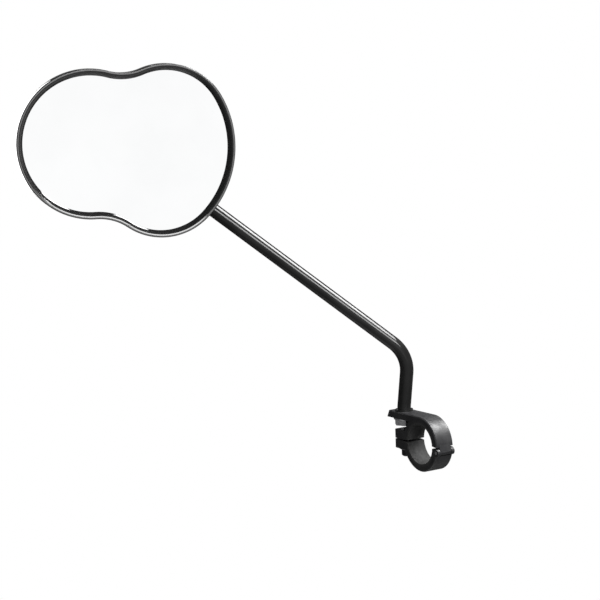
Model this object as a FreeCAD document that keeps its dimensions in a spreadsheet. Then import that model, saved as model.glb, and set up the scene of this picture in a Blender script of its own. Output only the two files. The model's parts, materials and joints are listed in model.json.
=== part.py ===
import FreeCAD, Part
import math
import os

import Sketcher
from FreeCAD import Placement, Rotation, Vector

# Handlebar mirror. The origin is the centre of the clamp's bore, +X runs along the bar towards the
# stem of the bicycle, +Y points forward, away from the rider, and +Z is up. Millimetres.

os.makedirs("parts", exist_ok=True)
doc = FreeCAD.newDocument("bar_mirror")

SIZES = [
    # clamp on the bar
    ("bar_radius", 11.1), ("shim_wall", 1.2), ("collar_wall", 3.0), ("collar_width", 11.4),
    ("split_half", 0.4), ("edge_break", 0.5), ("shim_relief", 0.2),
    ("lug_reach", 28.4), ("lug_tip", 30.3), ("lug_under", 11.5), ("lug_root", 5.5),
    ("lug_foot", 13.5), ("lug_corner", 0.8),
    ("ear_root", 12.8), ("ear_reach", 24.0), ("ear_height", 5.2), ("ear_corner", 2.0),
    # hinge of the lower jaw, on the rider's side
    ("hinge_back", 14.4), ("hinge_drop", 2.6), ("outer_knuckle", 2.1), ("middle_knuckle", 1.7),
    ("middle_half", 3.8), ("knuckle_gap", 0.1), ("knuckle_play", 0.35), ("pin_radius", 0.9),
    ("pin_play", 0.05), ("web_foot", 12.7), ("web_head", 1.5), ("notch_end", 11.9),
    # clamp bolt
    ("bolt_forward", 19.0), ("bolt_radius", 2.0), ("bolt_play", 0.15), ("bolt_tip", 5.7),
    ("slot_half", 0.7), ("slot_play", 0.3), ("bolt_seat_play", 0.05),
    ("bolt_head_radius", 3.5), ("bolt_head_height", 4.0), ("bolt_key", 3.0),
    ("bolt_washer_radius", 4.5), ("bolt_washer_thick", 0.8),
    ("nut_across", 7.0), ("nut_height", 3.2), ("nut_pocket_play", 0.05), ("nut_bore_play", 0.05),
    # arm
    ("arm_forward", 21.3), ("rod_radius", 3.8), ("spigot_radius", 3.0), ("spigot_play", 0.06),
    ("spigot_end", 6.8), ("spigot_overlap", 0.2), ("flange_radius", 5.0), ("flange_thick", 0.9),
    ("kink_rise", 1.2), ("stem_length", 30.95), ("arm_length", 196.8), ("neck_length", 22.3),
    ("kink_radius", 8.0), ("bend_radius", 20.0), ("elbow_radius", 8.0),
    ("neck_start", 10.0), ("neck_radius", 2.5), ("neck_cone", 2.2), ("stud_radius", 2.0),
    ("stud_end", 1.5),
    ("lock_washer_radius", 6.0), ("lock_washer_thick", 0.8), ("lock_nut_across", 10.0),
    ("lock_nut_height", 3.2), ("clamp_face_play", 0.02),
    # ball and socket
    ("ball_radius", 5.5), ("ball_flat", 0.6), ("liner_inner", 5.75), ("liner_outer", 7.0),
    ("cavity_radius", 7.25), ("socket_radius", 12.6), ("socket_front", 8.5), ("cap_depth", 6.5),
    ("mouth_foot", 4.6), ("mouth_rise", 2.2), ("mouth_rim", 6.8), ("screw_circle", 9.7),
    ("cap_screw_radius", 1.2), ("cap_screw_length", 9.6), ("cap_screw_head", 2.2),
    ("cap_screw_head_height", 1.4), ("cap_screw_key", 1.3), ("counterbore_play", 0.1),
    ("base_screw_radius", 1.4), ("base_screw_length", 6.6), ("base_screw_head", 2.6),
    ("base_screw_head_height", 1.5), ("base_screw_key", 1.5), ("screw_key_depth", 0.9),
    ("screw_hole_spare", 0.2),
    # mirror head, the outline first
    ("bean_length", 114.9), ("left_radius", 38.8), ("end_radius", 53.1), ("side_radius", 33.6),
    ("side_centre", 11.8), ("waist_radius", 26.5),
    ("lip_width", 1.6), ("lip_round", 0.5), ("foot_inset", 3.0), ("foot_depth", 3.4),
    ("opening_inset", 3.5), ("ledge_depth", 3.9), ("bezel_depth", 5.0), ("pocket_inset", 2.2),
    ("glass_inset", 2.4),
    ("glass_front", 3.95), ("glass_thick", 2.0), ("gasket_inset", 2.5), ("gasket_width", 2.2),
    ("pad_inset", 5.6), ("pad_thick", 0.8), ("plate_thick", 1.8),
    ("shell_wall", 2.0), ("ball_across", 5.4), ("ball_behind", 28.5),
]

# Directions of the bent arm and of the mirror, in degrees, on the handlebar as it is ridden.
STEM_LEAN = 10.0
ARM_SWEEP = 31.9
ARM_RISE = 39.1
HEAD_TURN = 18.0
HEAD_TIP = -2.0
HEAD_ROLL = 7.9

# Insets and depths of the rear shell's sections, from its front edge to the flat on its back.
SHELL_OUTSIDE = [(0.0, 5.0), (0.2, 9.0), (2.6, 13.2), (9.5, 17.4), (21.0, 20.0)]
SHELL_INSIDE = [(4.2, 8.5), (5.4, 12.0), (11.5, 15.7), (21.5, 18.0)]

# The socket's screws alternate round the ball: three into the shell, three through the cap.
SCREW_ANGLES = (90.0, 210.0, 330.0)
CAP_SCREW_TURN = 60.0

# How far a cutting shape reaches past the solid that it cuts.
MARGIN = 2.0
# How close two lengths are when they are taken as the same edge.
NEAR = 1e-3
# How deep a screw head's edge is broken, as a share of the head's height.
HEAD_EDGE_SHARE = 0.15

sheet = doc.addObject("Spreadsheet::Sheet", "sizes")
for row, (alias, number) in enumerate(SIZES, start=1):
    sheet.set("A%d" % row, alias)
    sheet.set("B%d" % row, str(number))
    sheet.setAlias("B%d" % row, alias)
doc.recompute()


class Size:
    """A length that keeps its formula, so a sketch gets both the number and the link to the sheet."""

    def __init__(self, value, text):
        self.value = value
        self.text = text

    def __add__(self, other):
        other = as_size(other)
        return Size(self.value + other.value, "(%s + %s)" % (self.text, other.text))

    def __sub__(self, other):
        other = as_size(other)
        return Size(self.value - other.value, "(%s - %s)" % (self.text, other.text))

    def __neg__(self):
        return Size(-self.value, "(-1 * %s)" % self.text)

    def __mul__(self, number):
        return Size(self.value * number, "(%s * %s)" % (self.text, number))


def as_size(number):
    return number if isinstance(number, Size) else Size(float(number), "%.6f" % number)


def size(alias):
    return Size(float(sheet.get(alias)), "sizes." + alias)


def bind(target, path, length):
    """Set a property of an object from the sheet."""
    target.setExpression(path, as_size(length).text)


# ---------------------------------------------------------------- bodies and sketches

def new_body(name, placement=Placement()):
    body = doc.addObject("PartDesign::Body", name)
    body.Label = name
    body.Placement = placement
    return body


def attach(item, body, plane, offset=None):
    """Put a sketch or a feature on one of its body's own planes, moved along the plane's normal."""
    support = [feature for feature in body.Origin.OriginFeatures if feature.Role == plane]
    item.AttachmentSupport = [(support[0], "")]
    item.MapMode = "FlatFace"
    if offset is not None:
        bind(item, ".AttachmentOffset.Base.z", offset)


def new_sketch(body, name, plane, offset=None):
    sketch = body.newObject("Sketcher::SketchObject", name)
    attach(sketch, body, plane, offset)
    return sketch


def constrain(sketch, kind, *arguments, length=None):
    if length is None:
        return sketch.addConstraint(Sketcher.Constraint(kind, *arguments))
    length = as_size(length)
    index = sketch.addConstraint(Sketcher.Constraint(kind, *arguments, length.value))
    sketch.setExpression("Constraints[%d]" % index, length.text)
    return index


def pin_point(sketch, geometry, position, x, y):
    """Fix a point of a sketch by its two coordinates."""
    constrain(sketch, "DistanceX", -1, 1, geometry, position, length=x)
    constrain(sketch, "DistanceY", -1, 1, geometry, position, length=y)


def draw_circle(sketch, x, y, radius):
    x, y = as_size(x), as_size(y)
    centre = Vector(x.value, y.value, 0)
    index = sketch.addGeometry(Part.Circle(centre, Vector(0, 0, 1), radius.value))
    constrain(sketch, "Radius", index, length=radius)
    pin_point(sketch, index, 3, x, y)


def draw_polygon(sketch, corners):
    corners = [(as_size(x), as_size(y)) for x, y in corners]
    points = [Vector(x.value, y.value, 0) for x, y in corners]
    first = sketch.GeometryCount
    for start, end in zip(points, points[1:] + points[:1]):
        sketch.addGeometry(Part.LineSegment(start, end))
    count = len(points)
    for step in range(count):
        constrain(sketch, "Coincident", first + step, 2, first + (step + 1) % count, 1)
    for step, (x, y) in enumerate(corners):
        pin_point(sketch, first + step, 1, x, y)


def draw_hexagon(sketch, x, y, across):
    """A hexagon with its width across flats, one corner pointing along the sketch's x axis."""
    radius = across * (1 / math.sqrt(3))
    corners = []
    for step in range(6):
        angle = math.radians(60 * step)
        corners.append((radius * round(math.cos(angle), 9) + x, radius * round(math.sin(angle), 9) + y))
    draw_polygon(sketch, corners)


def draw_bean(sketch, inset):
    """The mirror's outline, moved inwards: a round lobe, a larger flatter one and two hollows between."""
    left = size("left_radius") - inset
    end = size("end_radius") - inset
    side = size("side_radius") - inset
    hollow = size("waist_radius") + inset
    half = size("bean_length") * 0.5
    left_x = size("left_radius") - half
    end_x = half - size("end_radius")
    side_y = size("side_centre")

    side_angle = math.asin(side_y.value / (end.value - side.value))
    side_x = end_x.value + (end.value - side.value) * math.cos(side_angle)
    lobe = Vector(left_x.value, 0, 0)
    shoulder = Vector(side_x, side_y.value, 0)
    span = shoulder - lobe
    reach_left = left.value + hollow.value
    reach_right = side.value + hollow.value
    along = (reach_left ** 2 - reach_right ** 2 + span.Length ** 2) / (2 * span.Length)
    across = math.sqrt(reach_left ** 2 - along ** 2)
    direction = Vector(span).normalize()
    centre = lobe + direction * along + Vector(-direction.y, direction.x, 0) * across

    def heading(origin, target):
        return math.atan2(target.y - origin.y, target.x - origin.x)

    turn = 2 * math.pi
    to_hollow = heading(lobe, centre)
    from_side = heading(shoulder, centre)
    hollow_start = heading(centre, lobe)
    hollow_end = heading(centre, shoulder)
    upper = Vector(0, 0, 1)

    def arc(middle, radius, start, stop):
        return Part.ArcOfCircle(Part.Circle(middle, upper, radius), start, stop)

    def mirrored(point):
        return Vector(point.x, -point.y, 0)

    arcs = [
        arc(Vector(end_x.value, 0, 0), end.value, -side_angle, side_angle),
        arc(shoulder, side.value, side_angle, from_side),
        arc(centre, hollow.value, hollow_start, hollow_end),
        arc(lobe, left.value, to_hollow, turn - to_hollow),
        arc(mirrored(centre), hollow.value, -hollow_end, -hollow_start),
        arc(mirrored(shoulder), side.value, -from_side, -side_angle),
    ]
    first = sketch.GeometryCount
    for item in arcs:
        sketch.addGeometry(item)
    # Every joint between two arcs is smooth. The hollows run the other way round.
    joints = [(0, 2, 1, 1), (1, 2, 2, 2), (2, 1, 3, 1), (3, 2, 4, 2), (4, 1, 5, 1), (5, 2, 0, 1)]
    for one, one_end, other, other_end in joints:
        constrain(sketch, "Tangent", first + one, one_end, first + other, other_end)
    for index, radius in ((0, end), (1, side), (2, hollow), (3, left), (4, hollow), (5, side)):
        constrain(sketch, "Radius", first + index, length=radius)
    pin_point(sketch, first, 3, end_x, 0)
    pin_point(sketch, first + 3, 3, left_x, 0)
    constrain(sketch, "DistanceY", -1, 1, first + 1, 3, length=side_y)
    constrain(sketch, "DistanceY", -1, 1, first + 5, 3, length=-side_y)


def draw_sector(sketch, inner, outer, from_angle, to_angle):
    """Part of a ring about the sketch's origin, for turning into a spherical cup."""
    start, stop = math.radians(from_angle), math.radians(to_angle)
    origin, axis = Vector(0, 0, 0), Vector(0, 0, 1)

    def point(radius, angle):
        return Vector(radius.value * math.cos(angle), radius.value * math.sin(angle), 0)

    for radius in (inner, outer):
        index = sketch.addGeometry(Part.ArcOfCircle(Part.Circle(origin, axis, radius.value), start, stop))
        constrain(sketch, "Radius", index, length=radius)
        constrain(sketch, "Coincident", index, 3, -1, 1)
    for angle, end in ((start, 1), (stop, 2)):
        line = sketch.addGeometry(Part.LineSegment(point(inner, angle), point(outer, angle)))
        constrain(sketch, "Coincident", line, 1, 0, end)
        constrain(sketch, "Coincident", line, 2, 1, end)
        constrain(sketch, "Angle", -1, 1, line, 1, angle)


# ---------------------------------------------------------------- features

def pad(body, name, sketch, length, both_ways=False, reverse=False):
    feature = body.newObject("PartDesign::Pad", name)
    feature.Profile = sketch
    feature.Midplane = both_ways
    feature.Reversed = reverse
    bind(feature, "Length", length)
    sketch.Visibility = False
    return feature


def pocket(body, name, sketch, length=None, both_ways=False, reverse=False):
    feature = body.newObject("PartDesign::Pocket", name)
    feature.Profile = sketch
    feature.Midplane = both_ways
    feature.Reversed = reverse
    if length is None:
        feature.Type = 1
    else:
        bind(feature, "Length", length)
    return feature


def loft(body, name, sections, cut=False):
    kind = "PartDesign::SubtractiveLoft" if cut else "PartDesign::AdditiveLoft"
    feature = body.newObject(kind, name)
    feature.Profile = sections[0]
    feature.Sections = sections[1:]
    feature.Ruled = False
    return feature


def revolve(body, name, sketch):
    feature = body.newObject("PartDesign::Revolution", name)
    feature.Profile = sketch
    feature.ReferenceAxis = (sketch, ["V_Axis"])
    feature.Angle = 360
    return feature


def edges_where(shape, test):
    return ["Edge%d" % number for number, edge in enumerate(shape.Edges, start=1) if test(edge)]


def soften(body, kind, name, test, amount):
    """A fillet or chamfer on the edges of the body's last feature that pass a test."""
    doc.recompute()
    base = body.Tip
    feature = body.newObject("PartDesign::" + kind, name)
    feature.Base = (base, edges_where(base.Shape, test))
    bind(feature, "Radius" if kind == "Fillet" else "Size", amount)
    return feature


def is_end_circle(radius, half_width):
    """Tests for a circular edge of one radius about the bar, on an end face of the collar."""
    def test(edge):
        curve = edge.Curve
        if not isinstance(curve, Part.Circle) or abs(curve.Radius - radius) > NEAR:
            return False
        return abs(abs(curve.Center.x) - half_width) < NEAR
    return test


# ---------------------------------------------------------------- clamp

bar = size("bar_radius")
collar_inner = bar + size("shim_wall")
collar_outer = collar_inner + size("collar_wall")
width = size("collar_width")
half_width = width * 0.5
split = size("split_half")
hinge_y = -size("hinge_back")
hinge_z = -size("hinge_drop")


def half_ring(body, inner, outer, upper, gap):
    """Half of a ring around the bar, above or below the split."""
    sketch = new_sketch(body, "ring", "YZ_Plane")
    draw_circle(sketch, 0, 0, outer)
    draw_circle(sketch, 0, 0, inner)
    pad(body, "ring_pad", sketch, width, both_ways=True)
    sketch = new_sketch(body, "other_half", "YZ_Plane")
    edge = gap if upper else -gap
    side = outer + MARGIN
    far = -side if upper else side
    draw_polygon(sketch, [(-side, edge), (side, edge), (side, far), (-side, far)])
    pocket(body, "split", sketch, width + MARGIN, both_ways=True)


def ear(body, upper):
    """The block at the front that the clamp bolt passes through."""
    near = split if upper else -split
    far = size("ear_height") if upper else -size("ear_height")
    root, reach = size("ear_root"), size("ear_reach")
    sketch = new_sketch(body, "ear", "YZ_Plane")
    draw_polygon(sketch, [(root, near), (reach, near), (reach, far), (root, far)])
    pad(body, "ear_pad", sketch, width, both_ways=True)


def is_ear_corner(edge):
    box = edge.BoundBox
    upright = box.XLength < NEAR and box.YLength < NEAR
    return upright and abs(box.YMin - size("ear_reach").value) < NEAR


def is_lug_corner(edge):
    box = edge.BoundBox
    on_side = box.XLength < NEAR and abs(abs(box.XMin) - half_width.value) < NEAR
    return on_side and box.YMin > size("lug_reach").value - NEAR and box.ZMin > size("ear_height").value


def build_clamp_upper():
    body = new_body("clamp_upper")
    half_ring(body, collar_inner, collar_outer, True, split)
    sketch = new_sketch(body, "lug", "YZ_Plane")
    under = size("lug_under")
    draw_polygon(sketch, [
        (0, collar_outer), (size("lug_reach"), collar_outer), (size("lug_tip"), under),
        (size("lug_root"), under), (0, size("lug_foot")),
    ])
    pad(body, "lug_pad", sketch, width, both_ways=True)
    ear(body, True)

    sketch = new_sketch(body, "knuckle_web", "YZ_Plane")
    radius = size("middle_knuckle")
    middle_width = size("middle_half") * 2
    foot, head = size("web_foot"), size("web_head")
    draw_polygon(sketch, [
        (hinge_y - radius, hinge_z), (-collar_outer, head), (-foot, head), (-foot, hinge_z),
    ])
    pad(body, "web_pad", sketch, middle_width, both_ways=True)
    sketch = new_sketch(body, "knuckle", "YZ_Plane")
    draw_circle(sketch, hinge_y, hinge_z, radius)
    pad(body, "knuckle_pad", sketch, middle_width, both_ways=True)
    sketch = new_sketch(body, "pin_hole", "YZ_Plane")
    draw_circle(sketch, hinge_y, hinge_z, size("pin_radius"))
    pocket(body, "pin_bore", sketch, width + MARGIN, both_ways=True)

    sketch = new_sketch(body, "bolt_hole", "XY_Plane")
    draw_circle(sketch, 0, size("bolt_forward"), size("bolt_radius") + size("bolt_play"))
    pocket(body, "bolt_bore", sketch, size("ear_height") + MARGIN, reverse=True)
    sketch = new_sketch(body, "nut_shape", "XY_Plane", size("ear_height") - size("nut_height"))
    draw_hexagon(sketch, as_size(0), size("bolt_forward"), size("nut_across") + size("nut_pocket_play") * 2)
    pocket(body, "nut_pocket", sketch, size("nut_height") + MARGIN, reverse=True)
    sketch = new_sketch(body, "arm_hole", "XY_Plane", under - MARGIN)
    draw_circle(sketch, 0, size("arm_forward"), size("spigot_radius") + size("spigot_play"))
    pocket(body, "arm_bore", sketch, collar_outer - under + MARGIN * 2, reverse=True)

    soften(body, "Chamfer", "collar_edges", is_end_circle(collar_outer.value, half_width.value),
           size("edge_break"))
    soften(body, "Fillet", "ear_corners", is_ear_corner, size("ear_corner"))
    soften(body, "Fillet", "lug_corners", is_lug_corner, size("lug_corner"))
    return body


def build_clamp_lower():
    body = new_body("clamp_lower")
    half_ring(body, collar_inner, collar_outer, False, split)
    ear(body, False)
    sketch = new_sketch(body, "knuckle", "YZ_Plane")
    draw_circle(sketch, hinge_y, hinge_z, size("outer_knuckle"))
    pad(body, "knuckle_pad", sketch, width, both_ways=True)
    sketch = new_sketch(body, "knuckle_notch", "YZ_Plane")
    bottom = hinge_z - size("middle_knuckle") - size("knuckle_play")
    outside = hinge_y - size("outer_knuckle") - MARGIN
    inside = -size("notch_end")
    draw_polygon(sketch, [(outside, bottom), (inside, bottom), (inside, split), (outside, split)])
    pocket(body, "notch", sketch, (size("middle_half") + size("knuckle_gap")) * 2, both_ways=True)
    sketch = new_sketch(body, "pin_hole", "YZ_Plane")
    draw_circle(sketch, hinge_y, hinge_z, size("pin_radius") + size("pin_play"))
    pocket(body, "pin_bore", sketch, width + MARGIN, both_ways=True)

    # The bolt's hole is longer than it is wide, so the jaw can drop while the bolt is still in it.
    side = size("bolt_radius") + size("slot_play")
    reach = side + size("slot_half")
    bolt_y = size("bolt_forward")
    sketch = new_sketch(body, "bolt_slot", "XY_Plane")
    draw_polygon(sketch, [
        (-side, bolt_y - reach), (side, bolt_y - reach), (side, bolt_y + reach), (-side, bolt_y + reach),
    ])
    pocket(body, "slot", sketch, size("ear_height") + MARGIN)
    soften(body, "Chamfer", "collar_edges", is_end_circle(collar_outer.value, half_width.value),
           size("edge_break"))
    soften(body, "Fillet", "ear_corners", is_ear_corner, size("ear_corner"))
    return body


def build_shim(name, upper):
    """The rubber lining of one half of the clamp."""
    body = new_body(name)
    half_ring(body, bar, collar_inner, upper, split + size("shim_relief"))
    return body


def build_hinge_pin():
    pin = doc.addObject("Part::Cylinder", "hinge_pin")
    pin.Label = "hinge_pin"
    bind(pin, "Radius", size("pin_radius"))
    bind(pin, "Height", width)
    start = Vector(-half_width.value, hinge_y.value, hinge_z.value)
    pin.Placement = Placement(start, Rotation(Vector(0, 1, 0), 90))
    return pin


def turned(base, axis=Vector(0, 0, 1)):
    """A placement whose local z axis points along an axis."""
    return Placement(base, Rotation(Vector(0, 0, 1), axis))


def build_washer(name, inner, outer, thick, placement):
    body = new_body(name, placement)
    sketch = new_sketch(body, "face", "XY_Plane")
    draw_circle(sketch, 0, 0, outer)
    draw_circle(sketch, 0, 0, inner)
    pad(body, "disc", sketch, thick)
    return body


def build_nut(name, bore, across, height, placement):
    body = new_body(name, placement)
    sketch = new_sketch(body, "face", "XY_Plane")
    draw_hexagon(sketch, as_size(0), as_size(0), across)
    draw_circle(sketch, 0, 0, bore)
    pad(body, "prism", sketch, height)
    return body


def build_screw(name, shank, length, head, head_height, key, key_depth, placement):
    """A socket-head screw: its shank runs up the local z axis from under the head."""
    body = new_body(name, placement)
    sketch = new_sketch(body, "head_face", "XY_Plane")
    draw_circle(sketch, 0, 0, head)
    pad(body, "head", sketch, head_height, reverse=True)
    sketch = new_sketch(body, "shank_face", "XY_Plane")
    draw_circle(sketch, 0, 0, shank)
    pad(body, "shank", sketch, length)
    sketch = new_sketch(body, "key_face", "XY_Plane", -head_height)
    draw_hexagon(sketch, as_size(0), as_size(0), key)
    pocket(body, "key", sketch, key_depth, reverse=True)
    rim = head.value

    def is_head_rim(edge):
        curve = edge.Curve
        at_end = abs(edge.BoundBox.ZMin + head_height.value) < NEAR
        return isinstance(curve, Part.Circle) and abs(curve.Radius - rim) < NEAR and at_end

    soften(body, "Chamfer", "head_edge", is_head_rim, head_height * HEAD_EDGE_SHARE)
    return body


ear_bottom = -size("ear_height")
washer_top = ear_bottom - size("bolt_seat_play")
head_top = washer_top - size("bolt_washer_thick")
bolt_forward = size("bolt_forward").value
shank_length = size("bolt_tip") - head_top


def build_clamp():
    return [
        build_clamp_upper(),
        build_clamp_lower(),
        build_shim("shim_upper", True),
        build_shim("shim_lower", False),
        build_hinge_pin(),
        build_screw("clamp_bolt", size("bolt_radius"), shank_length, size("bolt_head_radius"),
                    size("bolt_head_height"), size("bolt_key"), size("bolt_head_height") * 0.5,
                    turned(Vector(0, bolt_forward, head_top.value))),
        build_washer("bolt_washer", size("bolt_radius"), size("bolt_washer_radius"),
                     size("bolt_washer_thick"), turned(Vector(0, bolt_forward, head_top.value))),
        build_nut("bolt_nut", size("bolt_radius") + size("nut_bore_play"), size("nut_across"),
                  size("nut_height"),
                  turned(Vector(0, bolt_forward, (size("ear_height") - size("nut_height")).value))),
    ]


# ---------------------------------------------------------------- where the arm and the head are

lug_top = collar_outer.value
arm_y = size("arm_forward").value
lean, sweep, rise = (math.radians(angle) for angle in (STEM_LEAN, ARM_SWEEP, ARM_RISE))
stem_direction = Vector(0, -math.sin(lean), math.cos(lean))
arm_direction = Vector(-math.cos(rise) * math.cos(sweep), math.cos(rise) * math.sin(sweep), math.sin(rise))
head_rotation = (Rotation(Vector(0, 0, 1), -HEAD_TURN) * Rotation(Vector(1, 0, 0), 90 - HEAD_TIP)
                 * Rotation(Vector(0, 0, 1), -HEAD_ROLL))
mirror_normal = head_rotation.multVec(Vector(0, 0, 1))

seat = Vector(0, arm_y, lug_top + size("flange_thick").value)
kink = seat + Vector(0, 0, size("kink_rise").value)
bend = kink + stem_direction * size("stem_length").value
elbow = bend + arm_direction * size("arm_length").value
ball_centre = elbow + mirror_normal * size("neck_length").value
ball_place = Placement(ball_centre, head_rotation)
head_origin = ball_centre - head_rotation.multVec(
    Vector(size("ball_across").value, 0, -size("ball_behind").value))
head_place = Placement(head_origin, head_rotation)


# ---------------------------------------------------------------- arm

def rounded_route(points, radii):
    """A wire through the points, with an arc of the given radius at each inner corner."""
    edges = []
    start = points[0]
    for before, corner, after, radius in zip(points, points[1:], points[2:], radii):
        arriving = (corner - before).normalize()
        leaving = (after - corner).normalize()
        turn = arriving.getAngle(leaving)
        setback = radius * math.tan(turn / 2)
        enter = corner - arriving * setback
        leave = corner + leaving * setback
        inward = (leaving - arriving).normalize()
        centre = corner + inward * (radius / math.cos(turn / 2))
        middle = centre - inward * radius
        edges.append(Part.LineSegment(start, enter).toShape())
        edges.append(Part.Arc(enter, middle, leave).toShape())
        start = leave
    edges.append(Part.LineSegment(start, points[-1]).toShape())
    return Part.Wire(edges)


def build_arm_rod():
    neck_top = ball_centre - mirror_normal * size("neck_start").value
    radii = [size(alias).value for alias in ("kink_radius", "bend_radius", "elbow_radius")]
    route = doc.addObject("Part::Feature", "arm_route")
    route.Shape = rounded_route([seat, kink, bend, elbow, neck_top], radii)
    section = doc.addObject("Part::Circle", "arm_section")
    bind(section, "Radius", size("rod_radius"))
    section.Placement = turned(seat)
    sweep_solid = doc.addObject("Part::Sweep", "arm_sweep")
    sweep_solid.Sections = [section]
    sweep_solid.Spine = (route, ["Edge%d" % (step + 1) for step in range(len(route.Shape.Edges))])
    sweep_solid.Solid = True
    sweep_solid.Frenet = False
    sweep_solid.Transition = "Transformed"

    spigot = doc.addObject("Part::Cylinder", "arm_spigot")
    bind(spigot, "Radius", size("spigot_radius"))
    spigot_top = collar_outer + size("flange_thick") + size("spigot_overlap")
    bind(spigot, "Height", spigot_top - size("spigot_end"))
    spigot.Placement = turned(Vector(0, arm_y, size("spigot_end").value))
    cone = doc.addObject("Part::Cone", "arm_neck_cone")
    bind(cone, "Radius1", size("rod_radius"))
    bind(cone, "Radius2", size("neck_radius"))
    bind(cone, "Height", size("neck_cone"))
    cone.Placement = turned(neck_top, mirror_normal)
    neck = doc.addObject("Part::Cylinder", "arm_neck")
    bind(neck, "Radius", size("neck_radius"))
    bind(neck, "Height", size("neck_start") - size("ball_radius") + size("ball_flat"))
    neck.Placement = turned(neck_top, mirror_normal)
    stud = doc.addObject("Part::Cylinder", "arm_stud")
    bind(stud, "Radius", size("stud_radius"))
    bind(stud, "Height", size("neck_start") - size("stud_end"))
    stud.Placement = turned(neck_top, mirror_normal)
    rod = doc.addObject("Part::MultiFuse", "arm_rod")
    rod.Label = "arm_rod"
    rod.Shapes = [sweep_solid, spigot, cone, neck, stud]
    rod.Refine = True
    return rod


def build_ball():
    """The ball screwed on the arm's stud, flat where it meets the neck."""
    body = new_body("ball", ball_place)
    sphere = body.newObject("PartDesign::AdditiveSphere", "sphere")
    bind(sphere, "Radius", size("ball_radius"))
    sketch = new_sketch(body, "flat", "XY_Plane", size("ball_flat") - size("ball_radius"))
    draw_circle(sketch, 0, 0, size("ball_radius"))
    pocket(body, "neck_seat", sketch, MARGIN)
    sketch = new_sketch(body, "stud_hole", "XY_Plane", -size("stud_end"))
    draw_circle(sketch, 0, 0, size("stud_radius"))
    pocket(body, "stud_bore", sketch, size("ball_radius"))
    return body


def build_arm():
    under = size("lug_under") - size("clamp_face_play")
    washer_base = under - size("lock_washer_thick")
    nut_base = washer_base - size("lock_nut_height")
    spigot = size("spigot_radius")
    return [
        build_arm_rod(),
        build_washer("base_flange", spigot, size("flange_radius"),
                     size("flange_thick") - size("clamp_face_play"),
                     turned(Vector(0, arm_y, lug_top + size("clamp_face_play").value))),
        build_washer("lock_washer", spigot, size("lock_washer_radius"), size("lock_washer_thick"),
                     turned(Vector(0, arm_y, washer_base.value))),
        build_nut("lock_nut", spigot, size("lock_nut_across"), size("lock_nut_height"),
                  turned(Vector(0, arm_y, nut_base.value))),
        build_ball(),
    ]


# ---------------------------------------------------------------- socket

def build_liner(name, from_angle, to_angle):
    """One nylon cup of the ball joint. The angles are seen from the ball's centre."""
    body = new_body(name, ball_place)
    sketch = new_sketch(body, "profile", "XZ_Plane")
    draw_sector(sketch, size("liner_inner"), size("liner_outer"), from_angle, to_angle)
    revolve(body, "cup", sketch)
    return body


def on_screw_circle(angle, depth, toward_front=True):
    """A placement at one of the screws around the ball, depth being measured along the head's axis."""
    radius = size("screw_circle").value
    spot = Vector(radius * math.cos(math.radians(angle)), radius * math.sin(math.radians(angle)), depth)
    flip = Rotation() if toward_front else Rotation(Vector(1, 0, 0), 180)
    return ball_place.multiply(Placement(spot, flip))


def draw_screw_circles(sketch, turn, radius):
    circle = size("screw_circle")
    for angle in SCREW_ANGLES:
        angle = math.radians(angle + turn)
        draw_circle(sketch, circle * round(math.cos(angle), 9), circle * round(math.sin(angle), 9), radius)


def build_socket_base():
    body = new_body("socket_base", ball_place)
    sketch = new_sketch(body, "outside", "XY_Plane")
    draw_circle(sketch, 0, 0, size("socket_radius"))
    pad(body, "block", sketch, size("socket_front"))
    cavity = body.newObject("PartDesign::SubtractiveSphere", "cavity")
    bind(cavity, "Radius", size("cavity_radius"))
    sketch = new_sketch(body, "cap_screw_holes", "XY_Plane")
    draw_screw_circles(sketch, CAP_SCREW_TURN, size("cap_screw_radius"))
    seat_depth = size("cap_depth") - size("cap_screw_head_height")
    spare = size("screw_hole_spare")
    pocket(body, "cap_threads", sketch, size("cap_screw_length") - seat_depth + spare, reverse=True)
    sketch = new_sketch(body, "base_screw_holes", "XY_Plane", size("socket_front"))
    draw_screw_circles(sketch, 0, size("base_screw_radius"))
    pocket(body, "base_threads", sketch, size("base_screw_length") - size("shell_wall") + spare)
    return body


def build_socket_cap():
    body = new_body("socket_cap", ball_place)
    sketch = new_sketch(body, "outside", "XY_Plane")
    draw_circle(sketch, 0, 0, size("socket_radius"))
    pad(body, "block", sketch, size("cap_depth"), reverse=True)
    cavity = body.newObject("PartDesign::SubtractiveSphere", "cavity")
    bind(cavity, "Radius", size("cavity_radius"))
    mouth = body.newObject("PartDesign::SubtractiveCone", "mouth")
    bind(mouth, "Radius1", size("mouth_rim"))
    bind(mouth, "Radius2", size("mouth_foot"))
    bind(mouth, "Height", size("mouth_rise"))
    attach(mouth, body, "XY_Plane", -size("cap_depth"))
    sketch = new_sketch(body, "screw_holes", "XY_Plane")
    draw_screw_circles(sketch, CAP_SCREW_TURN, size("cap_screw_radius"))
    pocket(body, "through", sketch, size("cap_depth") + MARGIN)
    sketch = new_sketch(body, "head_seats", "XY_Plane", -size("cap_depth"))
    draw_screw_circles(sketch, CAP_SCREW_TURN, size("cap_screw_head") + size("counterbore_play"))
    pocket(body, "counterbore", sketch, size("cap_screw_head_height"), reverse=True)
    rim = size("socket_radius").value

    def is_rear_rim(edge):
        curve = edge.Curve
        at_back = abs(edge.BoundBox.ZMin + size("cap_depth").value) < NEAR
        return isinstance(curve, Part.Circle) and abs(curve.Radius - rim) < NEAR and at_back

    soften(body, "Chamfer", "rear_edge", is_rear_rim, size("edge_break"))
    return body


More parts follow.
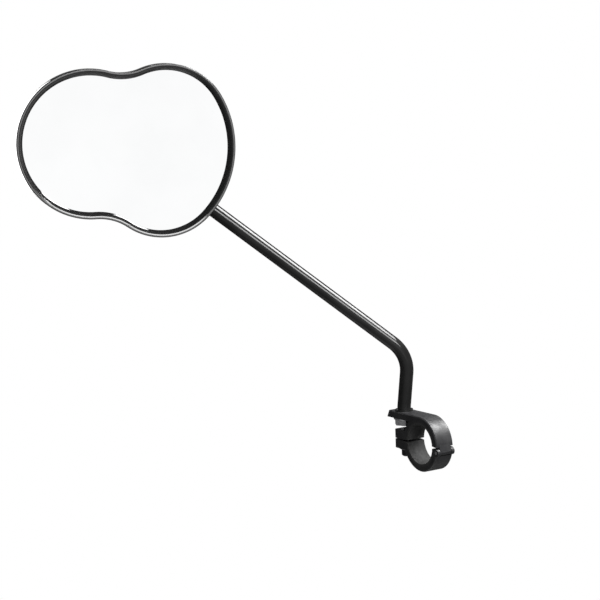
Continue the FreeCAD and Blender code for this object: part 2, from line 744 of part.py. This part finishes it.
def build_socket():
    nodes = [
        build_liner("liner_rear", -43.0, -10.0),
        build_liner("liner_front", 10.0, 90.0),
        build_socket_base(),
        build_socket_cap(),
    ]
    cap_seat = size("cap_screw_head_height").value - size("cap_depth").value
    shell_inside = size("socket_front").value + size("shell_wall").value
    for number, angle in enumerate(SCREW_ANGLES, start=1):
        nodes.append(build_screw(
            "cap_screw_%d" % number, size("cap_screw_radius"), size("cap_screw_length"),
            size("cap_screw_head"), size("cap_screw_head_height"), size("cap_screw_key"),
            size("screw_key_depth"), on_screw_circle(angle + CAP_SCREW_TURN, cap_seat)))
        nodes.append(build_screw(
            "base_screw_%d" % number, size("base_screw_radius"), size("base_screw_length"),
            size("base_screw_head"), size("base_screw_head_height"), size("base_screw_key"),
            size("screw_key_depth"), on_screw_circle(angle, shell_inside, toward_front=False)))
    return nodes


# ---------------------------------------------------------------- head

# Depths behind the lip of the layers behind the glass.
pad_front = size("glass_front") + size("glass_thick")
plate_front = pad_front + size("pad_thick")


def bean_body(name, inset, front, thick):
    """A flat plate with the mirror's outline, its front face at a depth behind the lip."""
    body = new_body(name, head_place)
    sketch = new_sketch(body, "outline", "XY_Plane", -front)
    draw_bean(sketch, inset)
    pad(body, "plate", sketch, thick, reverse=True)
    return body


def bean_sections(body, name, table):
    """One sketch of the outline for each inset and depth."""
    sections = []
    for number, (inset, depth) in enumerate(table):
        sketch = new_sketch(body, "%s_%d" % (name, number), "XY_Plane", -depth)
        draw_bean(sketch, as_size(inset))
        sections.append(sketch)
    return sections


def slope(body, name, inset, front, inner_inset, back):
    """Cut the opening of a ring, narrowing from one inset and depth to another."""
    wide = new_sketch(body, name + "_front", "XY_Plane", -front)
    draw_bean(wide, inset)
    narrow = new_sketch(body, name + "_back", "XY_Plane", -back)
    draw_bean(narrow, inner_inset)
    loft(body, name, [wide, narrow], cut=True)


def build_bezel():
    body = bean_body("bezel_ring", as_size(0), as_size(0), size("bezel_depth"))
    depth = size("bezel_depth")
    ledge = size("ledge_depth")
    foot = size("foot_depth")
    slope(body, "wall", size("lip_width"), as_size(0), size("foot_inset"), foot)
    slope(body, "foot", size("foot_inset"), foot, size("opening_inset"), ledge)
    sketch = new_sketch(body, "glass_recess", "XY_Plane", -depth)
    draw_bean(sketch, size("pocket_inset"))
    pocket(body, "recess", sketch, depth - ledge, reverse=True)

    def is_on_lip(edge):
        return max(abs(edge.BoundBox.ZMin), abs(edge.BoundBox.ZMax)) < NEAR

    soften(body, "Fillet", "round_lip", is_on_lip, size("lip_round"))
    return body


def build_gasket():
    """A rubber frame behind the edge of the glass."""
    body = bean_body("glass_gasket", size("gasket_inset"), pad_front, size("pad_thick"))
    sketch = new_sketch(body, "window", "XY_Plane", -pad_front)
    draw_bean(sketch, size("gasket_inset") + size("gasket_width"))
    pocket(body, "open_middle", sketch, size("pad_thick") + MARGIN)
    return body


def build_shell():
    body = new_body("rear_shell", head_place)
    loft(body, "dome", bean_sections(body, "outside", SHELL_OUTSIDE))
    loft(body, "hollow", bean_sections(body, "inside", SHELL_INSIDE), cut=True)
    rim = size("bezel_depth")
    sketch = new_sketch(body, "plate_seat", "XY_Plane", -rim)
    draw_bean(sketch, size("pocket_inset"))
    pocket(body, "seat", sketch, plate_front + size("plate_thick") - rim)
    sketch = new_sketch(body, "screw_holes", "XY_Plane", as_size(-SHELL_OUTSIDE[-1][1]))
    circle = size("screw_circle")
    for angle in SCREW_ANGLES:
        angle = math.radians(angle)
        draw_circle(sketch, circle * round(math.cos(angle), 9) + size("ball_across"),
                    circle * round(math.sin(angle), 9), size("base_screw_radius"))
    pocket(body, "screw_bores", sketch, size("shell_wall") + MARGIN, reverse=True)
    return body


def build_head():
    return [
        build_bezel(),
        bean_body("mirror_glass", size("glass_inset"), size("glass_front"), size("glass_thick")),
        build_gasket(),
        bean_body("foam_pad", size("pad_inset"), pad_front, size("pad_thick")),
        bean_body("backing_plate", size("glass_inset"), plate_front, size("plate_thick")),
        build_shell(),
    ]


nodes = build_clamp() + build_arm() + build_socket() + build_head()
doc.recompute()

broken = [item.Label for item in doc.Objects if "Invalid" in item.State or "Error" in item.State]
for node in nodes:
    if node.Shape.isNull() or not node.Shape.isValid() or not node.Shape.Solids:
        broken.append(node.Label)
if broken:
    raise RuntimeError("these objects did not build: " + ", ".join(sorted(set(broken))))

for node in nodes:
    node.Shape.exportStep(os.path.join("parts", node.Label + ".step"))
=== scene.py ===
import json
import math

import bmesh
import bpy
from mathutils import Matrix, Quaternion, Vector


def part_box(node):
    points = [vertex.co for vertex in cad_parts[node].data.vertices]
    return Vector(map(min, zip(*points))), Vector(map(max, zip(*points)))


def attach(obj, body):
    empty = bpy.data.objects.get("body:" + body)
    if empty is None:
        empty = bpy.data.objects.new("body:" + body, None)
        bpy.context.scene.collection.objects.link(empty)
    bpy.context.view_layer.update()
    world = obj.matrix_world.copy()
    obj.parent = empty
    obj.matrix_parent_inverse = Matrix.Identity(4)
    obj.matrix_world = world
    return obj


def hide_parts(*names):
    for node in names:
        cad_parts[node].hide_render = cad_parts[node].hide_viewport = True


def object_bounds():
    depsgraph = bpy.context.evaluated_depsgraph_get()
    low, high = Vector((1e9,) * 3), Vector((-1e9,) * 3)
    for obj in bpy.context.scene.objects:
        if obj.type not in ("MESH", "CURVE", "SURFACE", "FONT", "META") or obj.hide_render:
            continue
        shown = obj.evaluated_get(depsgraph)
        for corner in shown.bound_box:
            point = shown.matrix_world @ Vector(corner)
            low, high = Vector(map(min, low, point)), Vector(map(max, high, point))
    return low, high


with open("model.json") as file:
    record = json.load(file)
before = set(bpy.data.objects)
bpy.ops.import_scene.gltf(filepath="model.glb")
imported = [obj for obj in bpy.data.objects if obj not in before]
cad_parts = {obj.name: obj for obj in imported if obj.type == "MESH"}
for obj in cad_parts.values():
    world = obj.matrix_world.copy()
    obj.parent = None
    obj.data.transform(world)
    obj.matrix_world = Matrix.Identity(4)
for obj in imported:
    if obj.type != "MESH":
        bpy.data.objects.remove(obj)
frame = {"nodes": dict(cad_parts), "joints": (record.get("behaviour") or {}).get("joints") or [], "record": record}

MM = 0.001
CAD_BOX = [list(corner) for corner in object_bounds()]
SLOT_OF = {part["node"]: part["material_slot"] for part in frame["record"]["subparts"]}


# ---------------------------------------------------------------- places taken from the record

def joint(name):
    found = [item for item in frame["joints"] if item["name"] == name]
    return found[0]


BALL = Vector(joint("head_pan")["pos_m"])
ARM_Y = joint("arm_swivel")["pos_m"][1]

# The head's own axes: along the bean, up its side, and from its back out of the mirror.
ACROSS = Vector(joint("head_tilt")["axis"]).normalized()
UPWARD = Vector(joint("head_pan")["axis"]).normalized()
NORMAL = Vector(joint("head_roll")["axis"]).normalized()

# The ball's place from the middle of the ring's front.
BALL_ACROSS = 5.4 * MM
BALL_BEHIND = 28.5 * MM
HEAD_ORIGIN = BALL - ACROSS * BALL_ACROSS + NORMAL * BALL_BEHIND
HEAD = Matrix.Translation(HEAD_ORIGIN) @ Matrix((ACROSS, UPWARD, NORMAL)).transposed().to_4x4()


# ---------------------------------------------------------------- material nodes

# Scales of the noise, per metre: at a scale of 1000 its features are about a millimetre wide.
COAT_CLOUDS, COAT_WEAR, COAT_GRAIN = 90.0, 260.0, 3200.0
GLOSS_CLOUDS, GLOSS_SMEARS, GLOSS_RIPPLES = 60.0, 140.0, 220.0
METAL_CLOUDS, METAL_WEAR, METAL_GRAIN = 300.0, 900.0, 2500.0
RUBBER_CLOUDS, RUBBER_WEAR, RUBBER_GRAIN = 500.0, 700.0, 1800.0
GLASS_DUST, GLASS_TINT = 40.0, 25.0


def grey(value):
    return (value, value, value)


BY_SLOT = {}


def new_material(name, base, roughness, metallic=0.0, specular=0.5):
    """A material for one of the record's slots. Its uniform values sit on the shader's own sockets."""
    material = BY_SLOT[name] = bpy.data.materials.new(name)
    material.use_nodes = True
    shader = material.node_tree.nodes["Principled BSDF"]
    shader.inputs["Base Color"].default_value = (*base, 1.0)
    shader.inputs["Roughness"].default_value = roughness
    shader.inputs["Metallic"].default_value = metallic
    shader.inputs["Specular IOR Level"].default_value = specular
    return material, shader


def add_node(tree, kind, **settings):
    node = tree.nodes.new(kind)
    for key, value in settings.items():
        setattr(node, key, value)
    return node


def map_range(tree, source, from_range, to_range, interpolation="LINEAR"):
    node = add_node(tree, "ShaderNodeMapRange", interpolation_type=interpolation)
    node.inputs["From Min"].default_value, node.inputs["From Max"].default_value = from_range
    node.inputs["To Min"].default_value, node.inputs["To Max"].default_value = to_range
    tree.links.new(source, node.inputs["Value"])
    return node.outputs["Result"]


def noise(material, scale, detail=3.0, roughness=0.55):
    """Noise in object coordinates, which are in metres."""
    tree = material.node_tree
    coordinates = add_node(tree, "ShaderNodeTexCoord")
    texture = add_node(tree, "ShaderNodeTexNoise")
    texture.inputs["Scale"].default_value = scale
    texture.inputs["Detail"].default_value = detail
    texture.inputs["Roughness"].default_value = roughness
    tree.links.new(coordinates.outputs["Object"], texture.inputs["Vector"])
    return texture.outputs["Fac"]


def spread(material, source, target, low, high, start=0.35, end=0.65):
    """Drive a shader socket with a noise that is spread between two colours or two greys."""
    tree = material.node_tree
    node = add_node(tree, "ShaderNodeValToRGB")
    stops = node.color_ramp.elements
    stops[0].position, stops[1].position = start, end
    stops[0].color, stops[1].color = (*low, 1.0), (*high, 1.0)
    tree.links.new(source, node.inputs["Fac"])
    tree.links.new(node.outputs["Color"], target)


def add_bump(material, shader, source, distance, strength):
    tree = material.node_tree
    bump = add_node(tree, "ShaderNodeBump")
    bump.inputs["Strength"].default_value = strength
    bump.inputs["Distance"].default_value = distance
    tree.links.new(source, bump.inputs["Height"])
    tree.links.new(bump.outputs["Normal"], shader.inputs["Normal"])


def powder_coat(name, dark, light):
    """Matte coat with a fine grain and slightly rubbed patches."""
    material, shader = new_material(name, light, 0.45, specular=0.3)
    spread(material, noise(material, COAT_CLOUDS, detail=4.0), shader.inputs["Base Color"], dark, light)
    spread(material, noise(material, COAT_WEAR), shader.inputs["Roughness"], grey(0.38), grey(0.52))
    add_bump(material, shader, noise(material, COAT_GRAIN, detail=2.0), 0.06 * MM, 0.55)


def gloss_coat(name, dark, light, smooth, rough, ripple, specular):
    """Glossy paint or plastic: faint clouds in its black, faint smears and ripples in its gloss."""
    material, shader = new_material(name, light, smooth, specular=specular)
    smears = noise(material, GLOSS_SMEARS, detail=5.0, roughness=0.65)
    spread(material, noise(material, GLOSS_CLOUDS), shader.inputs["Base Color"], dark, light)
    spread(material, smears, shader.inputs["Roughness"], grey(smooth), grey(rough), 0.4, 0.75)
    add_bump(material, shader, noise(material, GLOSS_RIPPLES, detail=2.0), ripple, 0.35)


def satin_lip_painted_sheen(material, colour, roughness):
    """Give the front of the mirror's ring a rougher, half-matte face and a lighter grey that is painted sheen; its
    rounded edge, bevel and walls stay glossy.
    """
    tree = material.node_tree
    shader = tree.nodes["Principled BSDF"]
    coordinates = add_node(tree, "ShaderNodeTexCoord")
    offset = add_node(tree, "ShaderNodeVectorMath", operation="SUBTRACT")
    offset.inputs[1].default_value = HEAD_ORIGIN
    height = add_node(tree, "ShaderNodeVectorMath", operation="DOT_PRODUCT")
    height.inputs[1].default_value = NORMAL
    tree.links.new(coordinates.outputs["Object"], offset.inputs[0])
    tree.links.new(offset.outputs["Vector"], height.inputs[0])
    front = map_range(tree, height.outputs["Value"], (-0.03 * MM, -0.01 * MM), (0.0, 1.0))
    # On the front face the lighter grey is painted sheen, and the rougher value is the face's real finish.
    for socket, finish_and_painted_sheen in (("Base Color", colour), ("Roughness", grey(roughness))):
        glossy = shader.inputs[socket].links[0].from_socket
        mix = add_node(tree, "ShaderNodeMix", data_type="RGBA")
        mix.inputs["B"].default_value = (*finish_and_painted_sheen, 1.0)
        tree.links.new(front, mix.inputs["Factor"])
        tree.links.new(glossy, mix.inputs["A"])
        tree.links.new(mix.outputs["Result"], shader.inputs[socket])


def metal(name, dark, light, smooth, rough):
    material, shader = new_material(name, light, smooth, metallic=1.0)
    spread(material, noise(material, METAL_CLOUDS), shader.inputs["Base Color"], dark, light)
    wear = noise(material, METAL_WEAR, detail=4.0)
    spread(material, wear, shader.inputs["Roughness"], grey(smooth), grey(rough))
    add_bump(material, shader, noise(material, METAL_GRAIN, detail=2.0), 0.02 * MM, 0.4)


def soft_rubber(name, dark, light):
    material, shader = new_material(name, light, 0.8, specular=0.3)
    spread(material, noise(material, RUBBER_CLOUDS), shader.inputs["Base Color"], dark, light)
    spread(material, noise(material, RUBBER_WEAR), shader.inputs["Roughness"], grey(0.72), grey(0.9))
    add_bump(material, shader, noise(material, RUBBER_GRAIN), 0.08 * MM, 0.6)


def silvered_glass(name):
    """Mirror with a trace of dust that shows only in its gloss."""
    material, shader = new_material(name, (0.935, 0.94, 0.945), 0.03, metallic=1.0)
    dust = noise(material, GLASS_DUST, detail=6.0, roughness=0.7)
    spread(material, dust, shader.inputs["Roughness"], grey(0.02), grey(0.04), 0.45, 0.8)
    spread(material, noise(material, GLASS_TINT), shader.inputs["Base Color"],
           (0.925, 0.93, 0.933), (0.95, 0.954, 0.957))


gloss_coat("rod_gloss", grey(0.007), grey(0.012), 0.10, 0.20, 0.03 * MM, 0.25)
gloss_coat("shell_gloss", grey(0.005), grey(0.008), 0.08, 0.16, 0.02 * MM, 0.5)
# The ring's front face gets a painted sheen of grey 0.065 over its black, and a real rougher finish of 0.4.
satin_lip_painted_sheen(BY_SLOT["shell_gloss"], grey(0.065), 0.4)
silvered_glass("mirror_silver")
powder_coat("clamp_coat", (0.012, 0.012, 0.013), (0.020, 0.020, 0.021))
powder_coat("socket_plastic", (0.012, 0.012, 0.013), (0.020, 0.020, 0.021))
powder_coat("tray_plastic", grey(0.016), grey(0.024))
powder_coat("nylon", (0.74, 0.73, 0.68), (0.82, 0.81, 0.77))
metal("zinc_steel", (0.50, 0.50, 0.52), (0.66, 0.66, 0.67), 0.22, 0.38)
metal("bolt_steel", (0.035, 0.035, 0.038), (0.06, 0.06, 0.065), 0.28, 0.45)
metal("ball_chrome", (0.72, 0.72, 0.73), (0.80, 0.80, 0.81), 0.06, 0.14)
soft_rubber("shim_rubber", grey(0.018), grey(0.030))
soft_rubber("gasket_rubber", grey(0.018), grey(0.028))
soft_rubber("foam", (0.20, 0.20, 0.21), (0.27, 0.27, 0.28))

for node_name, node in frame["nodes"].items():
    for material_slot in node.material_slots:
        material_slot.material = BY_SLOT[SLOT_OF[node_name]]


# ---------------------------------------------------------------- meshes from rings of points

def stitch(rings, closed_profile):
    """Faces between neighbouring rings of equal length."""
    count = len(rings[0])
    pairs = list(zip(range(len(rings)), range(1, len(rings))))
    if closed_profile:
        pairs.append((len(rings) - 1, 0))
    faces = []
    for one, other in pairs:
        for step in range(count):
            after = (step + 1) % count
            faces.append((one * count + step, one * count + after, other * count + after,
                          other * count + step))
    return faces


def build_piece(name, rings, closed_profile, body, node_name, smooth_angle=35.0):
    """A piece that stands for a CAD node. An open row of rings gets a cap at each end."""
    vertices = [point for ring in rings for point in ring]
    faces = stitch(rings, closed_profile)
    if not closed_profile:
        count = len(rings[0])
        faces.append(tuple(range(len(vertices) - count, len(vertices))))
        faces.append(tuple(reversed(range(count))))
    mesh = bpy.data.meshes.new(name)
    mesh.from_pydata(vertices, [], faces)
    work = bmesh.new()
    work.from_mesh(mesh)
    bmesh.ops.remove_doubles(work, verts=work.verts, dist=1e-7)
    bmesh.ops.recalc_face_normals(work, faces=work.faces)
    work.to_mesh(mesh)
    work.free()
    mesh.materials.append(BY_SLOT[SLOT_OF[node_name]])
    mesh.shade_smooth()
    mesh.set_sharp_from_angle(angle=math.radians(smooth_angle))
    piece = bpy.data.objects.new(name, mesh)
    bpy.context.scene.collection.objects.link(piece)
    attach(piece, body)
    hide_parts(node_name)


# ---------------------------------------------------------------- the mirror head

# The bean's outline, as in the CAD model: six arcs that meet smoothly.
BEAN_LENGTH = 114.9 * MM
LEFT_RADIUS = 38.8 * MM
END_RADIUS = 53.1 * MM
SIDE_RADIUS = 33.6 * MM
SIDE_CENTRE = 11.8 * MM
WAIST = 26.5 * MM
END_STEPS, SIDE_STEPS, WAIST_STEPS, LEFT_STEPS = 48, 56, 36, 120

# Profiles as pairs of inset from the outline and depth behind the ring's front, in millimetres.
EDGE_ROUND = 0.5
LIP_WIDTH = 1.6
BEVEL_WIDTH, BEVEL_DEPTH = 0.6, 0.17
BEVEL_START = 0.06
OUTER_WALL = [(0.0, 5.0), (0.0, 3.5), (0.0, 1.6)]
INNER_WALL = [(3.0, 3.4), (3.5, 3.9), (2.2, 3.9), (2.2, 5.0)]
SHELL_INSIDE = [(21.5, 18.0), (11.5, 15.7), (5.4, 12.0), (4.2, 8.5)]
SHELL_EDGE = [(2.3, 8.4), (2.3, 5.0)]
SHELL_OUTSIDE = [(0.0, 5.0), (0.2, 9.0), (2.6, 13.2), (9.5, 17.4), (21.0, 20.0)]
GLASS_EDGE = [(2.6, 5.95), (2.4, 5.75), (2.4, 4.15), (2.6, 3.95)]


def arc_points(centre, radius, start, stop, count):
    points = []
    for step in range(count):
        angle = start + (stop - start) * step / count
        points.append(Vector((centre.x + radius * math.cos(angle), centre.y + radius * math.sin(angle))))
    return points


def bean(inset):
    """Points round the outline, moved inwards by an inset. They match from ring to ring."""
    half = BEAN_LENGTH / 2
    lobe = Vector((LEFT_RADIUS - half, 0))
    end = Vector((half - END_RADIUS, 0))
    side_angle = math.asin(SIDE_CENTRE / (END_RADIUS - SIDE_RADIUS))
    shoulder = Vector((end.x + (END_RADIUS - SIDE_RADIUS) * math.cos(side_angle), SIDE_CENTRE))

    # The waist's centre, from its distances to the centres of the arcs on both sides of it.
    span = shoulder - lobe
    left_reach = LEFT_RADIUS + WAIST
    right_reach = SIDE_RADIUS + WAIST
    along = (left_reach ** 2 - right_reach ** 2 + span.length ** 2) / (2 * span.length)
    across = math.sqrt(left_reach ** 2 - along ** 2)
    direction = span.normalized()
    centre = lobe + direction * along + Vector((-direction.y, direction.x)) * across

    def heading(origin, target):
        return math.atan2(target.y - origin.y, target.x - origin.x)

    def flipped(point):
        return Vector((point.x, -point.y))

    from_side = heading(shoulder, centre)
    to_lobe = heading(lobe, centre)
    near, far = heading(centre, lobe), heading(centre, shoulder)
    waist = WAIST + inset
    left, side, tip = LEFT_RADIUS - inset, SIDE_RADIUS - inset, END_RADIUS - inset
    points = arc_points(end, tip, -side_angle, side_angle, END_STEPS)
    points += arc_points(shoulder, side, side_angle, from_side, SIDE_STEPS)
    points += arc_points(centre, waist, far, near, WAIST_STEPS)
    points += arc_points(lobe, left, to_lobe, 2 * math.pi - to_lobe, LEFT_STEPS)
    points += arc_points(flipped(centre), waist, -near, -far, WAIST_STEPS)
    points += arc_points(flipped(shoulder), side, -from_side, -side_angle, SIDE_STEPS)
    return points


def bean_rings(profile):
    rings = []
    for inset, depth in profile:
        rings.append([HEAD @ Vector((point.x, point.y, -depth * MM)) for point in bean(inset * MM)])
    return rings


def rounded_edge(radius, steps=6):
    """Profile points of the ring's outer front edge, from its wall to its front."""
    points = []
    for step in range(steps + 1):
        angle = math.radians(180 - 90 * step / steps)
        points.append((radius + radius * math.cos(angle), radius - radius * math.sin(angle)))
    return points


def smooth_profile(points, steps):
    """Points on a Catmull-Rom curve through the given pairs."""
    padded = [points[0]] + points + [points[-1]]
    result = []
    for index in range(1, len(padded) - 2):
        a, b, c, d = padded[index - 1:index + 3]
        for step in range(steps):
            t = step / steps
            pair = []
            for k in range(2):
                pair.append(0.5 * (2 * b[k] + (c[k] - a[k]) * t
                                   + (2 * a[k] - 5 * b[k] + 4 * c[k] - d[k]) * t ** 2
                                   + (3 * b[k] - a[k] - 3 * c[k] + d[k]) * t ** 3))
            result.append(tuple(pair))
    return result + [points[-1]]


def build_bezel():
    """The ring: an outer wall, a rounded edge, a flat lip, a bevel and a sloped inner wall."""
    bevel_from = LIP_WIDTH - BEVEL_WIDTH
    profile = OUTER_WALL + rounded_edge(EDGE_ROUND) + [
        (LIP_WIDTH / 2, 0.0), (bevel_from, 0.0),
        (bevel_from + BEVEL_START * BEVEL_WIDTH, BEVEL_START * BEVEL_DEPTH), (LIP_WIDTH, BEVEL_DEPTH),
    ] + INNER_WALL
    build_piece("bezel", bean_rings(profile), True, "head", "bezel_ring")


def build_shell():
    """The domed back of the head: a hollow shell, with a step inside its front edge for the tray."""
    profile = smooth_profile(SHELL_INSIDE, 6) + SHELL_EDGE + smooth_profile(SHELL_OUTSIDE, 8)
    build_piece("shell", bean_rings(profile), False, "head", "rear_shell")


def build_glass():
    """The flat mirror, with a fine ground edge."""
    build_piece("glass", bean_rings(GLASS_EDGE), False, "head", "mirror_glass")


# ---------------------------------------------------------------- rod

# Heights and lengths along the rod, then its radii.
SEAT_HEIGHT = 16.2 * MM
KINK_RISE = 1.2 * MM
STEM_LENGTH = 30.95 * MM
STEM_LEAN = math.radians(10.0)
NECK_LENGTH = 22.3 * MM
NECK_START = 10.0 * MM
BEND_RADII = [8 * MM, 20 * MM, 8 * MM]
ROD_SPACING = 1.5 * MM
ROD_RADIUS = 3.8 * MM

# The spigot under the lug, with the crests and roots of its thread.
SPIGOT_TIP_RADIUS = 2.4 * MM
SPIGOT_TIP_LENGTH = 0.4 * MM
THREAD_CREST, THREAD_ROOT = 3.0 * MM, 2.7 * MM
THREAD_PITCH = 1.0 * MM
THREAD_TOP = 11.0 * MM
PLAIN_TOP = [16.0 * MM, 16.199 * MM]

# The neck's cone, as distances from the ball's centre, and its radii there.
NECK = [(9.2, 3.3), (8.5, 2.9), (7.8, 2.5), (7.0, 2.5), (5.2, 2.5)]


def rounded_route(points, radii, spacing):
    """Evenly spaced points along straight runs joined by arcs."""
    route = []

    def run(start, stop):
        count = max(2, int((stop - start).length / spacing))
        for step in range(count):
            route.append(start.lerp(stop, step / count))

    start = points[0]
    for before, corner, after, radius in zip(points, points[1:], points[2:], radii):
        arriving = (corner - before).normalized()
        leaving = (after - corner).normalized()
        turn = arriving.angle(leaving)
        setback = radius * math.tan(turn / 2)
        enter = corner - arriving * setback
        run(start, enter)
        centre = corner + (leaving - arriving).normalized() * (radius / math.cos(turn / 2))
        axis = arriving.cross(leaving).normalized()
        count = max(4, int(math.degrees(turn) / 4))
        for step in range(count):
            route.append(centre + Quaternion(axis, turn * step / count) @ (enter - centre))
        start = corner + leaving * setback
    run(start, points[-1])
    route.append(points[-1])
    return route


def tube(route, radii, around=56):
    """Rings about a route, carried along it without twist."""
    rings = []
    tangent = (route[1] - route[0]).normalized()
    side = tangent.orthogonal().normalized()
    for index, point in enumerate(route):
        before = route[max(index - 1, 0)]
        after = route[min(index + 1, len(route) - 1)]
        new_tangent = (after - before).normalized()
        side = tangent.rotation_difference(new_tangent) @ side
        tangent = new_tangent
        other = tangent.cross(side)
        ring = []
        for step in range(around):
            angle = 2 * math.pi * step / around
            ring.append(point + (side * math.cos(angle) + other * math.sin(angle)) * radii[index])
        rings.append(ring)
    return rings


def spigot_points():
    """Heights and radii up the spigot."""
    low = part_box("arm_rod")[0].z
    points = [(low, SPIGOT_TIP_RADIUS)]
    level = low + SPIGOT_TIP_LENGTH
    while level < THREAD_TOP:
        points += [(level, THREAD_CREST), (level + THREAD_PITCH / 2, THREAD_ROOT)]
        level += THREAD_PITCH
    return points + [(height, THREAD_CREST) for height in PLAIN_TOP]


def build_rod():
    """The bent rod, from the end of its threaded spigot to the neck behind the ball."""
    seat = Vector((0, ARM_Y, SEAT_HEIGHT))
    kink = seat + Vector((0, 0, KINK_RISE))
    bend = kink + Vector((0, -math.sin(STEM_LEAN), math.cos(STEM_LEAN))) * STEM_LENGTH
    elbow = BALL - NORMAL * NECK_LENGTH
    neck_top = BALL - NORMAL * NECK_START
    route = rounded_route([seat, kink, bend, elbow, neck_top], BEND_RADII, ROD_SPACING)
    stations = [(Vector((0, ARM_Y, height)), radius) for height, radius in spigot_points()]
    stations += [(point, ROD_RADIUS) for point in route]
    stations += [(BALL - NORMAL * distance * MM, radius * MM) for distance, radius in NECK]
    rings = tube([point for point, radius in stations], [radius for point, radius in stations])
    build_piece("rod", rings, False, "arm", "arm_rod", smooth_angle=40.0)


build_bezel()
build_shell()
build_glass()
build_rod()


# ---------------------------------------------------------------- studio

LOW, HIGH = (Vector(corner) for corner in CAD_BOX)
CENTRE = (LOW + HIGH) / 2

FLOOR_DROP = 0.4
FLOOR_SOLID_TO, FLOOR_FADES_BY = 0.12, 0.5
FLOOR_HOLE = 0.001
FLOOR_STEPS = 96

# Brightness of the surroundings: as a backdrop, in reflections, and in reflections of their glow.
BACKDROP, REFLECTED, GLOW = 1.0, 0.10, 0.5
GLOW_DIRECTION = (-0.35, -0.93, -0.05)
GLOW_SPREAD = (0.3, 1.0)


def around(direction, distance):
    return CENTRE + Vector(direction).normalized() * distance


# Name, place, target, size in metres and power in watts.
LIGHTS = [
    ("overhead", around((0.587, -0.286, 0.757), 1.0), CENTRE, (0.6, 0.45), 30.0),
    ("front", HEAD_ORIGIN + Vector((-0.05, -1.2, 0.46)), HEAD_ORIGIN, (1.1, 0.32), 20.0),
    ("card", HEAD_ORIGIN + Vector((-0.235, -1.58, -0.15)), HEAD_ORIGIN, (0.9, 0.7), 1.05),
    ("back", HEAD_ORIGIN + Vector((0.29, 1.45, 0.0)), HEAD_ORIGIN, (0.35, 0.6), 2.2),
    ("back_high", around((0.35, 0.5, 0.79), 1.0), CENTRE, (0.45, 0.3), 4.0),
]

CAMERA_PLACE = Vector((-0.58828, -0.78691, 0.21436))
CAMERA_RIGHT = Vector((0.83657, -0.54641, -0.03991))
CAMERA_UP = Vector((0.10607, 0.09006, 0.99027))
CAMERA_BACK = Vector((-0.53750, -0.83266, 0.13330))
SENSOR_WIDTH = 36.0
FOCAL_LENGTH = 108.6
CLIP_START, CLIP_END = 0.01, 20.0


def add_area(name, location, target, size, power):
    light = bpy.data.lights.new(name, "AREA")
    light.shape = "RECTANGLE"
    light.size, light.size_y = size
    light.energy = power
    lamp = bpy.data.objects.new(name, light)
    lamp.location = location
    lamp.rotation_euler = (target - location).to_track_quat("-Z", "Y").to_euler()
    bpy.context.scene.collection.objects.link(lamp)


def build_floor():
    """A round pale floor that fades into the white surroundings between two distances."""
    floor_z = LOW.z - FLOOR_DROP
    rings = []
    for radius in (FLOOR_HOLE, 0.5 * FLOOR_SOLID_TO, FLOOR_SOLID_TO,
                   0.5 * (FLOOR_SOLID_TO + FLOOR_FADES_BY), FLOOR_FADES_BY):
        ring = []
        for step in range(FLOOR_STEPS):
            angle = 2 * math.pi * step / FLOOR_STEPS
            ring.append((CENTRE.x + radius * math.cos(angle), CENTRE.y + radius * math.sin(angle), floor_z))
        rings.append(ring)
    mesh = bpy.data.meshes.new("studio_floor")
    mesh.from_pydata([point for ring in rings for point in ring], [], stitch(rings, False))
    material, shader = new_material("studio_white", grey(0.5), 0.9, specular=0.0)
    tree = material.node_tree
    coordinates = add_node(tree, "ShaderNodeTexCoord")
    distance = add_node(tree, "ShaderNodeVectorMath", operation="DISTANCE")
    distance.inputs[1].default_value = (CENTRE.x, CENTRE.y, floor_z)
    tree.links.new(coordinates.outputs["Object"], distance.inputs[0])
    fade = map_range(tree, distance.outputs["Value"], (FLOOR_SOLID_TO, FLOOR_FADES_BY), (1.0, 0.0),
                     "SMOOTHSTEP")
    tree.links.new(fade, shader.inputs["Alpha"])
    mesh.materials.append(material)
    floor = bpy.data.objects.new("studio_floor", mesh)
    bpy.context.scene.collection.objects.link(floor)


def build_surroundings():
    """White surroundings as a backdrop. Reflections show them much dimmer, with a soft glow in front."""
    world = bpy.data.worlds.new("studio")
    world.use_nodes = True
    tree = world.node_tree
    direction = add_node(tree, "ShaderNodeTexCoord")
    facing = add_node(tree, "ShaderNodeVectorMath", operation="DOT_PRODUCT")
    facing.inputs[1].default_value = GLOW_DIRECTION
    tree.links.new(direction.outputs["Generated"], facing.inputs[0])
    dim = tree.nodes["Background"]
    dim.inputs["Color"].default_value = (*grey(1.0), 1.0)
    strength = map_range(tree, facing.outputs["Value"], GLOW_SPREAD, (REFLECTED, GLOW), "SMOOTHSTEP")
    tree.links.new(strength, dim.inputs["Strength"])
    backdrop = add_node(tree, "ShaderNodeBackground")
    backdrop.inputs["Color"].default_value = (*grey(1.0), 1.0)
    backdrop.inputs["Strength"].default_value = BACKDROP
    rays = add_node(tree, "ShaderNodeLightPath")
    mix = add_node(tree, "ShaderNodeMixShader")
    tree.links.new(rays.outputs["Is Camera Ray"], mix.inputs["Fac"])
    tree.links.new(dim.outputs["Background"], mix.inputs[1])
    tree.links.new(backdrop.outputs["Background"], mix.inputs[2])
    tree.links.new(mix.outputs["Shader"], tree.nodes["World Output"].inputs["Surface"])
    bpy.context.scene.world = world


def build_camera():
    """The camera at the photograph's place and angle."""
    camera = bpy.data.objects.new("camera", bpy.data.cameras.new("camera"))
    camera.data.sensor_width = SENSOR_WIDTH
    camera.data.lens = FOCAL_LENGTH
    camera.data.clip_start, camera.data.clip_end = CLIP_START, CLIP_END
    rotation = Matrix((CAMERA_RIGHT, CAMERA_UP, CAMERA_BACK)).transposed().to_4x4()
    camera.matrix_world = Matrix.Translation(CAMERA_PLACE) @ rotation
    bpy.context.scene.collection.objects.link(camera)
    bpy.context.scene.camera = camera


build_floor()
build_surroundings()
for light in LIGHTS:
    add_area(*light)
build_camera()
bpy.context.scene.view_settings.view_transform = "Standard"
